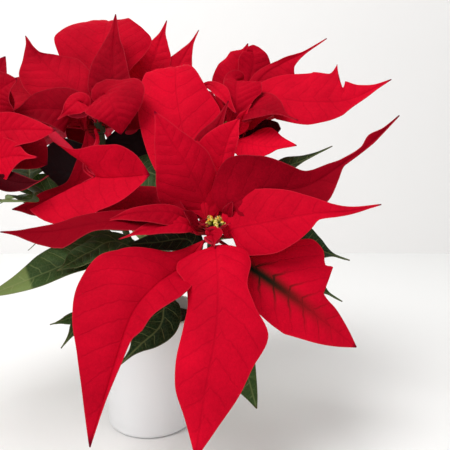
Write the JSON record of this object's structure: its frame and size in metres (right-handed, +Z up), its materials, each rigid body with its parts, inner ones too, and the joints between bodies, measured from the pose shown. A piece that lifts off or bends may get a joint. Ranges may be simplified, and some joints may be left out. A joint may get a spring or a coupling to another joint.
{
  "type": "potted poinsettia",
  "caption": "Bushy flowering house plant with large layered red bracts in star-shaped heads over dark green leaves, in a plain tapered white pot.",
  "frame": {"origin": "middle of the pot's flat base, on the surface that the pot stands on", "axes": "+Z up; -Y towards the large front head, the side the picture shows; +X to the right seen from there"},
  "size_m": [0.472, 0.3193, 0.3932],
  "materials": {
    "pot": "white, satin",
    "soil": "dark peat",
    "wood": "grey-brown bark",
    "leaf": "dark green, matt",
    "bract": "crimson, velvety",
    "cyathia": "yellow-green, waxy"
  },
  "bodies": {
    "root": {"pot": "pot", "soil": "soil", "woody_stem": "wood", "branch_front": "leaf", "branch_upper": "leaf", "branch_rear": "leaf", "branch_right": "leaf", "branch_left": "leaf", "bracts_front": "bract", "bracts_upper": "bract", "bracts_rear": "bract", "bracts_right": "bract", "bracts_left": "bract", "cyathia_front": "cyathia", "cyathia_upper": "cyathia", "cyathia_rear": "cyathia", "cyathia_right": "cyathia", "cyathia_left": "cyathia"}
  },
  "joints": []
}
